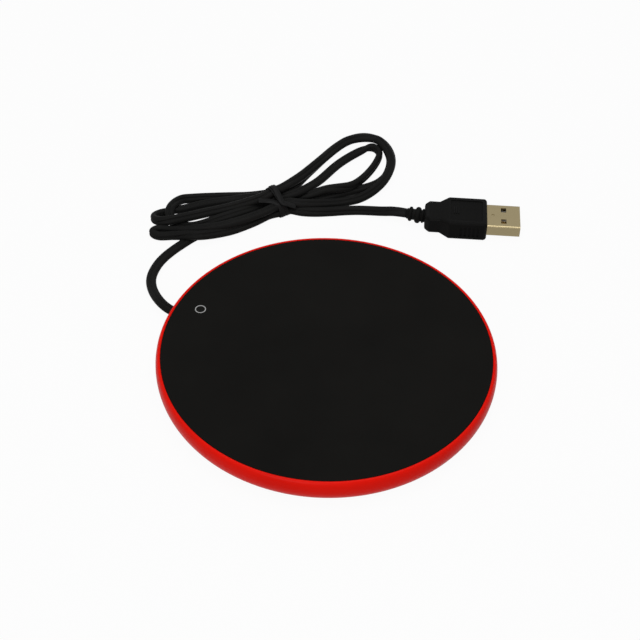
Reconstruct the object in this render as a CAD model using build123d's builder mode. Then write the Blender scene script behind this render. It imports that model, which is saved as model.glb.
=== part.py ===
"""Electric mug warmer: a flat round heating plate on a USB cord that is wound into a tied hank.

Millimetres, +Z up. The origin is the middle of the disc on the surface it stands on, and +Y is the back.
"""

import os
from math import cos, pi, radians, sin, tan

from build123d import *

os.makedirs("parts", exist_ok=True)

# ---- driving dimensions: the disc ----
outer_dia = 110.0  # widest line of the rim
overall_height = 10.0
foot_proud = 1.0
belly_drop = 3.4  # from the top down to where the rim is widest
rim_bulge = 1.25  # of the widest line, past the lip
rim_tuck = 3.7  # of the rim's lower edge, inside its widest line
lip_width = 0.35
lip_edge_break = 0.15
panel_thickness = 1.0
panel_edge_break = 0.15
adhesive_thickness = 0.2
adhesive_margin = 0.35
ledge_width = 2.9
ledge_thickness = 1.0
ledge_root = 0.6
wall_thickness = 3.1
base_land = 1.5  # flat ring of the rim round the cover
cover_thickness = 1.4
cover_edge_break = 0.3
cover_step = 0.7  # the rim's shoulder that the cover seats on
cover_step_height = 0.6
cover_step_root = 0.4
fit_gap = 0.1  # between parts dropped into each other
snug_gap = 0.02  # between parts pushed together

# ---- driving dimensions: heater stack ----
spreader_inset = 11.3  # from the panel's edge
spreader_thickness = 0.75
track_thickness = 0.1
track_width = 2.2
track_pitch = 5.0
track_first_radius = 7.0
track_margin = 0.8
film_inset = 13.3  # from the panel's edge
film_thickness = 0.15
pad_inset = 11.8  # from the panel's edge
pad_thickness = 1.0
pad_post_dia = 3.0
pad_post_inset = 11.5  # from the pad's edge
pad_post_count = 6
pad_post_first_angle = 40.0
pad_post_step_angle = 50.0

# ---- driving dimensions: fasteners and feet ----
foot_dia = 10.0
foot_thickness = 1.6
foot_edge_break = 0.3
foot_inset = 11.7  # of its middle, from the cover's edge
foot_count = 4
foot_first_angle = 45.0
screw_count = 4
screw_inset = 6.0  # from the rim's inner wall
screw_first_angle = 20.0
screw_shank_dia = 1.9
screw_head_dia = 3.6
screw_head_height = 0.85
screw_head_sink = 0.05
screw_slot_length = 2.0
screw_slot_width = 0.45
screw_slot_depth = 0.5
screw_length = 5.0
boss_dia = 4.6
boss_length = 4.4
boss_rib = 1.6
small_shank_dia = 1.4
small_head_dia = 2.8
small_head_height = 0.6
small_screw_bite = 0.8  # into the cover, below its inside face
label_recess_dia = 46.0
label_recess_depth = 0.2

# ---- driving dimensions: cord entry and board ----
entry_angle = 156.5
cord_width = 3.5  # of the flat two-core cord
cord_thickness = 2.4
cord_clearance = 0.1  # under the free cord, which rolls a little as it turns
cord_height = 3.9
grommet_margin = 0.75  # of rubber round the cord
grommet_flange_width = 7.0
grommet_flange_thickness = 1.1
grommet_flange_height = 3.7
grommet_flange_corner = 1.2
lead_straight = 2.2  # straight out of the grommet
plug_lead_straight = 4.4  # straight out of the plug's relief
tail_inner_reach = 0.8  # of the jacket, past the grommet's flange
board_thickness = 1.0
board_stand = 0.5
board_length = 15.7
board_width = 20.0
board_shift = -1.0  # of its middle, aside from the cord
board_edge_gap = 0.4
board_corner = 0.8
board_post_dia = 3.2
board_screw_inset = 2.2
chip_size = (5.0, 4.0, 1.2)
chip_inset = (5.2, 4.0)  # in from the board's inner edge, and aside
chip_edge_break = 0.2
pin_pitch = 1.27
pin_reach = 0.9
pin_width = 0.4
pin_height = 0.3
pins_per_side = 4
transistor_size = (4.0, 3.4, 1.2)
transistor_inset = (7.4, -6.8)
transistor_tab = 0.8
capacitor_inset = (2.7, -7.2)  # in from the board's outer edge, and aside
capacitor_dia = 3.4
capacitor_height = 2.8
capacitor_edge = 0.4
pad_row_inset = 1.6
supply_pad_inset = 2.1
supply_pad_aside = 3.6
supply_core_aside = 0.5

# ---- driving dimensions: key ----
key_inset = 7.9  # of its middle, from the panel's edge
key_aside = 0.5
key_dia = 2.9
key_travel = 0.4
key_edge_break = 0.1
key_flange_dia = 4.4
key_flange_thickness = 0.6
key_running_gap = 0.05
light_ring_dia = 3.6
light_ring_bore = 3.0
light_ring_flange_dia = 4.8
light_ring_flange_thickness = 0.4
switch_side = 3.4
switch_corner = 0.4
switch_height = 1.6
switch_floor = 0.5
plunger_dia = 1.7
plunger_stand = 0.6
dome_thickness = 0.1
lamp_size = (0.8, 1.6, 0.8)
lamp_inset = 3.2  # from the key's middle

# ---- driving dimensions: wires, sensor and fuse ----
supply_wire_dia = 0.9
sensor_wire_dia = 0.5
wire_slack = 0.07  # sideways bow, as a share of the run
direct_wire_aside = -2.6
fused_wire_aside = -4.6
sensor_inset = 23.0  # in from the board's inner edge
sensor_dia = 1.6
sensor_height = 1.3
sensor_edge = 0.5
fuse_dia = 1.8
fuse_length = 7.0
fuse_edge = 0.3
fuse_inset = 19.0
fuse_aside = -14.0
fuse_lead_dia = 0.6
fuse_lead_reach = 2.4
fuse_lead_bend = 0.4
fuse_wire_straight = 2.6
fuse_wire_rise = 4.0
fuse_slot_margin = 1.5
terminal_inset = 11.0
terminal_aside = -7.0
pad_hole_dia = 2.4

# ---- driving dimensions: hank and tie ----
tie_place = (-17.8, 81.1)
bundle_angle = 30.0
strand_row_height = 2.65
strands = [(-0.8, 0), (4.4, 1), (2.7, 0), (0.5, 1), (2.1, 2), (-2.6, 1), (-4.2, 0)]  # place across, and row
waist_length = 12.5
left_lobe_height = 5.8
right_lobe_height = 4.8
hank_bevel = 0.9
loop_corner = 0.8
tie_width = 3.2
tie_thickness = 0.4
tie_tail_width = 1.5
tie_tails = [(8.6, 134.0), (6.5, -39.0)]  # length, and angle from the bundle

# ---- driving dimensions: plug ----
plug_place = (56.4, 72.4)  # middle of the metal shell where it leaves the grip
plug_angle = -3.0
shell_width = 12.0
shell_height = 4.5
shell_wall = 0.3
shell_reach = 11.75
shell_depth = 5.0
shell_corner = 0.6
latch_width = 2.3
latch_length = 1.9
latch_place = 5.9
latch_offset = 3.05
grip_width = 14.8
grip_height = 7.8
grip_length = 22.2
grip_neck_width = 10.6
grip_neck_height = 6.7
grip_neck_length = 5.4
grip_nose_width = 7.8  # where the neck ends
grip_nose_height = 5.9
grip_nose_length = 1.7
grip_taper_length = 3.3
grip_edge = 1.2
grip_panel_length = 11.5  # of the shallow recess in the top
grip_panel_width = 10.6
grip_panel_depth = 0.25
grip_panel_setback = 1.6  # from the grip's front
grip_panel_corner = 0.8
grip_line_count = 3  # raised lines in the recess
grip_line_length = 3.4
grip_line_width = 0.35
grip_line_pitch = 0.8
grip_line_place = -11.0
grip_ridge_count = 5  # cut in each side
grip_ridge_length = 0.7
grip_ridge_pitch = 1.5
grip_ridge_height = 4.0
grip_ridge_depth = 0.3
grip_ridge_place = -6.2
relief_length = 6.4
relief_turn = 10.0
relief_root_dia = 4.4
relief_tip_dia = 3.8
relief_seat = 0.4  # of its foot, inside the grip
relief_ribs = [(1.15, 1.2, 5.9), (2.95, 1.5, 5.9), (5.15, 1.3, 5.3)]  # place from the grip's nose, width, diameter
relief_rib_edge = 0.25
tongue_width = 10.8
tongue_thickness = 1.84
tongue_setback = 0.6
contact_width = 1.0
contact_thickness = 0.15
contact_places = [-3.5, -1.0, 1.0, 3.5]
contact_lengths = [7.4, 6.4, 6.4, 7.4]
contact_setback = 1.2
dimple_dia = 1.1
dimple_depth = 0.12
dimple_place = 2.1

# ---- heights worked out from the driving dimensions ----
rim_base = foot_proud
cover_top = rim_base + cover_thickness
panel_base = overall_height - panel_thickness
ledge_top = panel_base - adhesive_thickness
spreader_base = panel_base - spreader_thickness
track_base = spreader_base - track_thickness
film_base = track_base - film_thickness
pad_base = film_base - pad_thickness
board_base = cover_top + board_stand
board_top = board_base + board_thickness
shoulder_top = cover_top + cover_step_height
belly_height = overall_height - belly_drop
grommet_width = cord_width + 2 * grommet_margin
grommet_height = cord_thickness + 2 * grommet_margin

# ---- radii and places worked out from the driving dimensions ----
outer_radius = outer_dia / 2
lip_radius = outer_radius - rim_bulge
seat_radius = lip_radius - lip_width
panel_radius = seat_radius - fit_gap
ledge_inside = seat_radius - ledge_width
wall_inside = outer_radius - wall_thickness
base_edge_radius = outer_radius - rim_tuck
cover_seat_radius = base_edge_radius - base_land
cover_radius = cover_seat_radius - fit_gap
shoulder_radius = cover_seat_radius - cover_step
spreader_radius = panel_radius - spreader_inset
film_radius = panel_radius - film_inset
pad_radius = panel_radius - pad_inset
pad_post_radius = pad_radius - pad_post_inset
foot_radius = cover_radius - foot_inset
screw_radius = wall_inside - screw_inset
track_turns = int((film_radius - track_margin - track_width / 2 - track_first_radius) / track_pitch) + 1
board_outer = shoulder_radius - board_edge_gap
board_inner = board_outer - board_length
board_near_side = board_shift + board_width / 2
board_far_side = board_shift - board_width / 2
board_screw_places = [
    (board_outer - board_screw_inset - small_shank_dia / 2, board_near_side - board_screw_inset),
    (board_inner + board_screw_inset, board_far_side + board_screw_inset),
]
key_place = (panel_radius - key_inset, key_aside)
lamp_place = (key_place[0] - lamp_inset, key_aside)
chip_place = (board_inner + chip_inset[0], chip_inset[1])
transistor_place = (board_inner + transistor_inset[0], transistor_inset[1])
capacitor_place = (board_outer - capacitor_inset[0], capacitor_inset[1])
supply_pad = (board_outer - supply_pad_inset, supply_pad_aside)
pad_row = board_inner + pad_row_inset
sensor_place = (board_inner - sensor_inset, 0.0)
fuse_place = (board_inner - fuse_inset, fuse_aside)
heater_terminal = (board_inner - terminal_inset, terminal_aside)

# The entry plane has its X along the cord, outwards, and its Y round the disc.
entry_direction = (cos(radians(entry_angle)), sin(radians(entry_angle)), 0)
entry = Plane(origin=(0, 0, 0), x_dir=entry_direction, z_dir=(0, 0, 1))


def entry_point(x, y, z):
    """A point given in the entry plane's own directions."""
    return entry.from_local_coords(Vector(x, y, z))


def corner_radii(route):
    """For each corner of a route, the largest arc that its two runs allow."""
    radii = []
    for before, corner, after in zip(route, route[1:], route[2:]):
        run_in = Vector(*corner) - Vector(*before)
        run_out = Vector(*after) - Vector(*corner)
        half_turn = radians(run_in.get_angle(run_out)) / 2
        radii.append(0.45 * min(run_in.length, run_out.length) / tan(half_turn))
    return radii


def tube(route, diameter):
    """A round cord or wire along straight runs joined by tangent arcs."""
    with BuildPart() as piece:
        with BuildLine():
            spine = FilletPolyline(*route, radius=corner_radii(route))
        with BuildSketch(Plane(origin=spine @ 0, z_dir=spine % 0)):
            Circle(diameter / 2)
        sweep()
    fill = piece.part.volume / (pi * diameter**2 / 4 * spine.length)
    print(f"tube {diameter} mm: length {spine.length:.1f}, volume ratio {fill:.4f}")
    return piece


def flat_tube(route):
    """The flat cord, level across, along straight runs joined by tangent arcs."""
    with BuildPart() as piece:
        with BuildLine():
            spine = FilletPolyline(*route, radius=corner_radii(route))
        heading = spine % 0
        with BuildSketch(Plane(origin=spine @ 0, x_dir=(-heading.Y, heading.X, 0), z_dir=heading)):
            SlotOverall(cord_width, cord_thickness)
        sweep()
    section = (cord_width - cord_thickness) * cord_thickness + pi * cord_thickness**2 / 4
    fill = piece.part.volume / (section * spine.length)
    print(f"cord: length {spine.length:.1f}, volume ratio {fill:.4f}")
    return piece


def slack_run(start, finish, slack):
    """Four points from start to finish, bowed aside by a share of the distance between them."""
    run = finish - start
    aside = Vector(-run.Y, run.X, 0) * slack
    return [start, start + run * 0.3 + aside, start + run * 0.7 + aside, finish]


def save(piece, name):
    """Label a finished piece and write it."""
    piece.part.label = name
    export_step(piece.part, f"parts/{name}.step")


# ---- rim shell ----
def outside_profile():
    """The rim's rounded outside, from its lower edge up to the lip."""
    lower_drop = belly_height - rim_base
    EllipticalCenterArc((base_edge_radius, belly_height), rim_tuck, lower_drop, start_angle=270, arc_size=90)
    EllipticalCenterArc((lip_radius, belly_height), rim_bulge, belly_drop, start_angle=0, arc_size=90)


with BuildPart() as outside_form:
    with BuildSketch(Plane.XZ):
        with BuildLine():
            outside_profile()
            Polyline(
                (lip_radius, overall_height),
                (0, overall_height),
                (0, rim_base),
                (base_edge_radius, rim_base),
            )
        make_face()
    revolve(axis=Axis.Z)

with BuildPart() as rim_shell:
    with BuildSketch(Plane.XZ):
        with BuildLine():
            outside_profile()
            Polyline(
                (base_edge_radius, rim_base),
                (cover_seat_radius, rim_base),
                (cover_seat_radius, cover_top),
                (shoulder_radius, cover_top),
                (shoulder_radius, shoulder_top),
                (wall_inside, shoulder_top + cover_step_root),
                (wall_inside, ledge_top - ledge_thickness - ledge_root),
                (ledge_inside, ledge_top - ledge_thickness),
                (ledge_inside, ledge_top),
                (seat_radius, ledge_top),
                (seat_radius, overall_height - lip_edge_break),
                (seat_radius + lip_edge_break, overall_height),
                (lip_radius, overall_height),
            )
        make_face()
    revolve(axis=Axis.Z)
    # screw bosses, each on a rib from the wall
    with PolarLocations(0, screw_count, start_angle=screw_first_angle):
        with Locations((screw_radius, 0, cover_top)):
            Cylinder(boss_dia / 2, boss_length, align=(Align.CENTER, Align.CENTER, Align.MIN))
            rib_length = screw_inset + wall_thickness / 6
            Box(rib_length, boss_rib, boss_length, align=(Align.MIN, Align.CENTER, Align.MIN))
    with PolarLocations(screw_radius, screw_count, start_angle=screw_first_angle):
        with Locations((0, 0, cover_top)):
            Cylinder(
                screw_shank_dia / 2 + snug_gap,
                screw_length,
                align=(Align.CENTER, Align.CENTER, Align.MIN),
                mode=Mode.SUBTRACT,
            )
    # the slot for the cord's grommet, open below, and room inside for its flange
    slot_start = shoulder_radius - cover_step
    with BuildSketch(Plane(entry_point(slot_start, 0, 0), x_dir=entry.y_dir, z_dir=entry.x_dir)):
        with Locations((0, cord_height)):
            SlotOverall(grommet_width, grommet_height)
            Rectangle(grommet_width, cord_height, align=(Align.CENTER, Align.MAX))
    extrude(amount=outer_radius - slot_start, mode=Mode.SUBTRACT)
    with BuildSketch(entry.offset(cover_top)):
        with Locations((wall_inside, 0)):
            pocket_reach = wall_inside - slot_start
            Rectangle(pocket_reach, grommet_flange_width + 2 * fit_gap, align=(Align.MAX, Align.CENTER))
    extrude(amount=cover_step_height + cover_step_root, mode=Mode.SUBTRACT)
save(rim_shell, "rim_shell")

# ---- cord grommet ----
grommet_inside = wall_inside - grommet_flange_thickness - fit_gap
with BuildPart() as cord_grommet:
    with BuildSketch(Plane(entry_point(grommet_inside, 0, 0), x_dir=entry.y_dir, z_dir=entry.x_dir)):
        with Locations((0, cord_height)):
            SlotOverall(grommet_width - 2 * snug_gap, grommet_height - 2 * snug_gap)
            Rectangle(grommet_width - 2 * snug_gap, cord_height - rim_base, align=(Align.CENTER, Align.MAX))
    extrude(amount=outer_radius - grommet_inside)
    add(outside_form.part, mode=Mode.INTERSECT)
    # inner flange
    with BuildSketch(Plane(entry_point(grommet_inside, 0, 0), x_dir=entry.y_dir, z_dir=entry.x_dir)):
        with Locations((0, cover_top + fit_gap)):
            Rectangle(grommet_flange_width, grommet_flange_height, align=(Align.CENTER, Align.MIN))
        fillet(vertices().group_by(Axis.Y)[-1], grommet_flange_corner)
    extrude(amount=grommet_flange_thickness)
    with BuildSketch(Plane(entry_point(grommet_inside, 0, cord_height), x_dir=entry.y_dir, z_dir=entry.x_dir)):
        SlotOverall(cord_width + 2 * snug_gap, cord_thickness + 2 * snug_gap)
    extrude(amount=outer_radius - grommet_inside, mode=Mode.SUBTRACT)
save(cord_grommet, "cord_grommet")

# ---- bottom cover ----
with BuildPart() as bottom_cover:
    with BuildSketch(Plane.XY.offset(rim_base)):
        Circle(cover_radius)
    extrude(amount=cover_thickness)
    chamfer(bottom_cover.edges().group_by(Axis.Z)[0], cover_edge_break)
    with BuildSketch(Plane.XY.offset(rim_base)):
        Circle(label_recess_dia / 2)
    extrude(amount=label_recess_depth, mode=Mode.SUBTRACT)
    with BuildSketch(Plane.XY.offset(rim_base)):
        with PolarLocations(foot_radius, foot_count, start_angle=foot_first_angle):
            Circle(foot_dia / 2 + fit_gap)
    extrude(amount=foot_thickness - foot_proud, mode=Mode.SUBTRACT)
    # posts under the insulation pad
    with BuildSketch(entry.offset(cover_top)):
        for number in range(pad_post_count):
            turn = radians(pad_post_first_angle + number * pad_post_step_angle)
            with Locations((pad_post_radius * cos(turn), pad_post_radius * sin(turn))):
                Circle(pad_post_dia / 2)
    extrude(amount=pad_base - cover_top)
    # posts under the board, one of them under the key
    with BuildSketch(entry.offset(cover_top)):
        with Locations(*board_screw_places, key_place):
            Circle(board_post_dia / 2)
    extrude(amount=board_stand)
    # screw holes
    with PolarLocations(screw_radius, screw_count, start_angle=screw_first_angle):
        with Locations((0, 0, rim_base)):
            Cylinder(screw_shank_dia / 2 + fit_gap, 4 * cover_thickness, mode=Mode.SUBTRACT)
            Cylinder(
                screw_head_dia / 2 + fit_gap,
                screw_head_height + screw_head_sink,
                align=(Align.CENTER, Align.CENTER, Align.MIN),
                mode=Mode.SUBTRACT,
            )
    with BuildSketch(entry.offset(cover_top - small_screw_bite)):
        with Locations(*board_screw_places):
            Circle(small_shank_dia / 2 + snug_gap)
    extrude(amount=small_screw_bite + board_stand, mode=Mode.SUBTRACT)
save(bottom_cover, "bottom_cover")

# ---- feet ----
for number in range(foot_count):
    turn = radians(foot_first_angle + number * 360 / foot_count)
    with BuildPart() as foot:
        with BuildSketch(Plane((foot_radius * cos(turn), foot_radius * sin(turn), 0))):
            Circle(foot_dia / 2)
        extrude(amount=foot_thickness)
        chamfer(foot.edges().group_by(Axis.Z)[0], foot_edge_break)
    save(foot, f"foot_{number + 1}")

# ---- cover screws ----
screw_head_top = rim_base + screw_head_sink + screw_head_height
with BuildPart() as cover_screws:
    with PolarLocations(screw_radius, screw_count, start_angle=screw_first_angle):
        with Locations((0, 0, screw_head_top)):
            Cylinder(screw_head_dia / 2, screw_head_height, align=(Align.CENTER, Align.CENTER, Align.MAX))
            Cylinder(screw_shank_dia / 2, screw_length, align=(Align.CENTER, Align.CENTER, Align.MIN))
    with PolarLocations(screw_radius, screw_count, start_angle=screw_first_angle):
        with Locations((0, 0, screw_head_top - screw_head_height)):
            Box(screw_slot_length, screw_slot_width, 2 * screw_slot_depth, mode=Mode.SUBTRACT)
            Box(screw_slot_width, screw_slot_length, 2 * screw_slot_depth, mode=Mode.SUBTRACT)
save(cover_screws, "cover_screws")

# ---- top panel, its adhesive and the heater stack ----
with BuildPart() as top_panel:
    with BuildSketch(Plane.XY.offset(panel_base)):
        Circle(panel_radius)
    extrude(amount=panel_thickness)
    chamfer(top_panel.edges().group_by(Axis.Z)[-1], panel_edge_break)
    with BuildSketch(entry.offset(panel_base)):
        with Locations(key_place):
            Circle(light_ring_dia / 2 + snug_gap)
    extrude(amount=panel_thickness, mode=Mode.SUBTRACT)
save(top_panel, "top_panel")

with BuildPart() as panel_adhesive:
    with BuildSketch(Plane.XY.offset(ledge_top)):
        Circle(seat_radius - adhesive_margin)
        Circle(ledge_inside + adhesive_margin, mode=Mode.SUBTRACT)
    extrude(amount=adhesive_thickness)
save(panel_adhesive, "panel_adhesive")

with BuildPart() as heat_spreader:
    with BuildSketch(Plane.XY.offset(spreader_base)):
        Circle(spreader_radius)
    extrude(amount=spreader_thickness)
save(heat_spreader, "heat_spreader")

with BuildPart() as heater_track:
    with BuildSketch(entry.offset(track_base)):
        for number in reversed(range(track_turns)):
            middle = track_first_radius + number * track_pitch
            Circle(middle + track_width / 2)
            Circle(middle - track_width / 2, mode=Mode.SUBTRACT)
        # every turn is cut open, and joined to the next one on alternate sides of the cut
        Rectangle(outer_radius, track_pitch, align=(Align.MIN, Align.CENTER), mode=Mode.SUBTRACT)
        for number in range(track_turns - 1):
            side = 1 if number % 2 else -1
            middle = track_first_radius + (number + 0.5) * track_pitch
            with Locations((middle, side * (track_pitch / 2 + track_width / 2))):
                Rectangle(track_pitch + track_width / 2, track_width)
    extrude(amount=track_thickness)
save(heater_track, "heater_track")

with BuildPart() as heating_film:
    with BuildSketch(Plane.XY.offset(film_base)):
        Circle(film_radius)
    extrude(amount=film_thickness)
save(heating_film, "heating_film")

fuse_start = fuse_place[0] - fuse_length / 2
fuse_end = fuse_place[0] + fuse_length / 2
with BuildPart() as insulation_pad:
    with BuildSketch(Plane.XY.offset(pad_base)):
        Circle(pad_radius)
    extrude(amount=pad_thickness)
    with BuildSketch(entry.offset(pad_base)):
        with Locations(sensor_place, heater_terminal):
            Circle(pad_hole_dia / 2)
        with Locations((fuse_end + fuse_wire_straight + fuse_slot_margin, fuse_aside)):
            slot_length = fuse_length + fuse_lead_reach + fuse_wire_straight + 2 * fuse_slot_margin
            Rectangle(slot_length, fuse_dia + 2 * fuse_lead_bend, align=(Align.MAX, Align.CENTER))
    extrude(amount=pad_thickness, mode=Mode.SUBTRACT)
save(insulation_pad, "insulation_pad")

# ---- temperature sensor and thermal fuse ----
with BuildPart() as temperature_sensor:
    with BuildSketch(entry.offset(film_base - sensor_height)):
        with Locations(sensor_place):
            Circle(sensor_dia / 2)
    extrude(amount=sensor_height)
    fillet(temperature_sensor.edges().group_by(Axis.Z)[0], sensor_edge)
save(temperature_sensor, "temperature_sensor")

fuse_height = film_base - fuse_dia / 2
with BuildPart() as thermal_fuse:
    with BuildSketch(Plane(entry_point(fuse_start, fuse_aside, fuse_height), z_dir=entry.x_dir)):
        Circle(fuse_dia / 2)
    extrude(amount=fuse_length)
    fillet(thermal_fuse.edges().filter_by(GeomType.CIRCLE), fuse_edge)
    with BuildLine():
        fuse_lead = FilletPolyline(
            entry_point(fuse_start + fuse_edge, fuse_aside, fuse_height),
            entry_point(fuse_start - fuse_lead_reach, fuse_aside, fuse_height),
            entry_point(fuse_start - fuse_lead_reach, fuse_aside, film_base),
            radius=fuse_lead_bend,
        )
    with BuildSketch(Plane(origin=fuse_lead @ 0, z_dir=fuse_lead % 0)):
        Circle(fuse_lead_dia / 2)
    sweep(path=fuse_lead)
save(thermal_fuse, "thermal_fuse")

# ---- circuit board and what is on it ----
with BuildPart() as circuit_board:
    with BuildSketch(entry.offset(board_base)):
        with Locations((board_inner, board_shift)):
            Rectangle(board_width, board_width, align=(Align.MIN, Align.CENTER))
        Circle(board_outer, mode=Mode.INTERSECT)
        fillet(vertices(), board_corner)
        with Locations(*board_screw_places):
            Circle(small_shank_dia / 2 + fit_gap, mode=Mode.SUBTRACT)
    extrude(amount=board_thickness)
save(circuit_board, "circuit_board")

with BuildPart() as controller_chip:
    with BuildSketch(entry.offset(board_top)):
        with Locations(chip_place):
            Rectangle(chip_size[0], chip_size[1])
    extrude(amount=chip_size[2])
    chamfer(controller_chip.edges().group_by(Axis.Z)[-1], chip_edge_break)
    with BuildSketch(entry.offset(board_top)):
        with Locations(chip_place):
            with GridLocations(pin_pitch, chip_size[1] + pin_reach, pins_per_side, 2):
                Rectangle(pin_width, pin_reach + 2 * snug_gap)
    extrude(amount=pin_height)
save(controller_chip, "controller_chip")

with BuildPart() as power_transistor:
    with BuildSketch(entry.offset(board_top)):
        with Locations(transistor_place):
            Rectangle(transistor_size[0], transistor_size[1])
    extrude(amount=transistor_size[2])
    chamfer(power_transistor.edges().group_by(Axis.Z)[-1], chip_edge_break)
    with BuildSketch(entry.offset(board_top)):
        with Locations((transistor_place[0] - transistor_size[0] / 2, transistor_place[1])):
            Rectangle(2 * transistor_tab, transistor_size[1] - transistor_tab)
    extrude(amount=pin_height)
save(power_transistor, "power_transistor")

with BuildPart() as filter_capacitor:
    with BuildSketch(entry.offset(board_top)):
        with Locations(capacitor_place):
            Circle(capacitor_dia / 2)
    extrude(amount=capacitor_height)
    fillet(filter_capacitor.edges().group_by(Axis.Z)[-1], capacitor_edge)
save(filter_capacitor, "filter_capacitor")

with BuildPart() as key_lamp:
    with BuildSketch(entry.offset(board_top)):
        with Locations(lamp_place):
            Rectangle(lamp_size[0], lamp_size[1])
    extrude(amount=lamp_size[2])
save(key_lamp, "key_lamp")

# ---- key: switch, plunger, cap and the light ring round it ----
switch_top = board_top + switch_height
plunger_top = switch_top + plunger_stand
dome_base = board_top + switch_floor
plunger_base = dome_base + dome_thickness + key_travel + key_running_gap
ring_flange_base = panel_base - light_ring_flange_thickness
cap_flange_top = ring_flange_base - key_running_gap

with BuildPart() as key_switch:
    with BuildSketch(entry.offset(board_top)):
        with Locations(key_place):
            RectangleRounded(switch_side, switch_side, switch_corner)
    extrude(amount=switch_height)
    with BuildSketch(entry.offset(dome_base)):
        with Locations(key_place):
            Circle(plunger_dia / 2 + key_running_gap)
    extrude(amount=switch_height, mode=Mode.SUBTRACT)
save(key_switch, "key_switch")

with BuildPart() as key_dome:
    with BuildSketch(entry.offset(dome_base)):
        with Locations(key_place):
            Circle(plunger_dia / 2)
    extrude(amount=dome_thickness)
save(key_dome, "key_dome")

with BuildPart() as key_plunger:
    with BuildSketch(entry.offset(plunger_base)):
        with Locations(key_place):
            Circle(plunger_dia / 2)
    extrude(amount=plunger_top - plunger_base)
save(key_plunger, "key_plunger")

with BuildPart() as key_cap:
    with BuildSketch(entry.offset(plunger_top)):
        with Locations(key_place):
            Circle(plunger_dia / 2)
    extrude(amount=cap_flange_top - plunger_top)
    with BuildSketch(entry.offset(cap_flange_top - key_flange_thickness)):
        with Locations(key_place):
            Circle(key_flange_dia / 2)
    extrude(amount=key_flange_thickness)
    with BuildSketch(entry.offset(cap_flange_top)):
        with Locations(key_place):
            Circle(key_dia / 2)
    extrude(amount=overall_height - cap_flange_top)
    chamfer(key_cap.edges().group_by(Axis.Z)[-1], key_edge_break)
save(key_cap, "key_cap")

with BuildPart() as key_light_ring:
    with BuildSketch(entry.offset(ring_flange_base)):
        with Locations(key_place):
            Circle(light_ring_flange_dia / 2)
    extrude(amount=light_ring_flange_thickness)
    with BuildSketch(entry.offset(panel_base)):
        with Locations(key_place):
            Circle(light_ring_dia / 2)
    extrude(amount=panel_thickness)
    with BuildSketch(entry.offset(ring_flange_base)):
        with Locations(key_place):
            Circle(light_ring_bore / 2)
    extrude(amount=overall_height, mode=Mode.SUBTRACT)
save(key_light_ring, "key_light_ring")

# ---- cord tail and board screws ----
tail_start = grommet_inside - tail_inner_reach
with BuildPart() as cord_tail:
    with BuildSketch(Plane(entry_point(tail_start, 0, cord_height), x_dir=entry.y_dir, z_dir=entry.x_dir)):
        SlotOverall(cord_width, cord_thickness)
    extrude(amount=outer_radius - tail_start)
save(cord_tail, "cord_tail")

with BuildPart() as board_screws:
    with BuildSketch(entry.offset(cover_top - small_screw_bite)):
        with Locations(*board_screw_places):
            Circle(small_shank_dia / 2)
    extrude(amount=board_top - cover_top + small_screw_bite)
    with BuildSketch(entry.offset(board_top)):
        with Locations(*board_screw_places):
            Circle(small_head_dia / 2)
    extrude(amount=small_head_height)
save(board_screws, "board_screws")

# ---- wires inside ----
wire_height = board_top + supply_wire_dia / 2
near_pad = supply_pad_aside - supply_wire_dia
for side, name in ((1, "supply_wire_positive"), (-1, "supply_wire_negative")):
    supply_route = [
        entry_point(tail_start, side * supply_core_aside, wire_height),
        entry_point(tail_start - supply_wire_dia, side * supply_core_aside, wire_height),
        entry_point(supply_pad[0] + supply_wire_dia, side * near_pad, wire_height),
        entry_point(supply_pad[0], side * supply_pad_aside, wire_height),
    ]
    save(tube(supply_route, supply_wire_dia), name)

direct_route = slack_run(
    entry_point(pad_row, direct_wire_aside, wire_height),
    entry_point(*heater_terminal, wire_height),
    wire_slack,
)
direct_route.append(entry_point(*heater_terminal, film_base))
save(tube(direct_route, supply_wire_dia), "heater_wire_direct")

fused_route = slack_run(
    entry_point(pad_row, fused_wire_aside, wire_height),
    entry_point(fuse_end + fuse_wire_straight + fuse_wire_rise, fuse_aside, wire_height),
    wire_slack,
)
fused_route.append(entry_point(fuse_end + fuse_wire_straight, fuse_aside, fuse_height))
fused_route.append(entry_point(fuse_end, fuse_aside, fuse_height))
save(tube(fused_route, supply_wire_dia), "heater_wire_fused")

sensor_base = film_base - sensor_height
sensor_wire_height = board_top + sensor_wire_dia / 2
for side, name in ((1, "sensor_wire_1"), (-1, "sensor_wire_2")):
    aside = side * (sensor_wire_dia / 2 + snug_gap)
    sensor_route = slack_run(
        entry_point(pad_row, aside, sensor_wire_height),
        entry_point(sensor_place[0], aside, sensor_wire_height),
        -wire_slack,
    )
    sensor_route.append(entry_point(sensor_place[0], aside, sensor_base))
    save(tube(sensor_route, sensor_wire_dia), name)

# ---- cord hank, one solid of its outer shape, and the tie round its waist ----
bundle = Plane(
    origin=(tie_place[0], tie_place[1], 0),
    x_dir=(-sin(radians(bundle_angle)), cos(radians(bundle_angle)), 0),
    z_dir=(cos(radians(bundle_angle)), sin(radians(bundle_angle)), 0),
)
first_row = tie_thickness + cord_thickness / 2
strand_places = [(across, first_row + row * strand_row_height) for across, row in strands]
left_turns = [
    (-21.0, 75.6),
    (-25.9, 71.8),
    (-34.1, 65.6),
    (-41.0, 61.2),
    (-47.8, 60.0),
    (-61.2, 62.3),
    (-62.3, 71.5),
    (-59.8, 74.4),
    (-51.7, 82.4),
    (-42.1, 85.1),
    (-25.2, 83.6),
]
right_turns = [
    (-11.4, 79.4),
    (5.7, 84.7),
    (10.9, 86.3),
    (15.5, 88.8),
    (19.6, 92.7),
    (22.0, 98.1),
    (23.0, 108.0),
    (21.7, 115.2),
    (19.0, 119.1),
    (16.1, 121.1),
    (12.5, 121.7),
    (8.2, 120.2),
    (3.0, 116.0),
    (-1.9, 109.8),
    (-6.9, 101.3),
    (-12.2, 90.6),
    (-14.2, 87.4),
]
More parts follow.
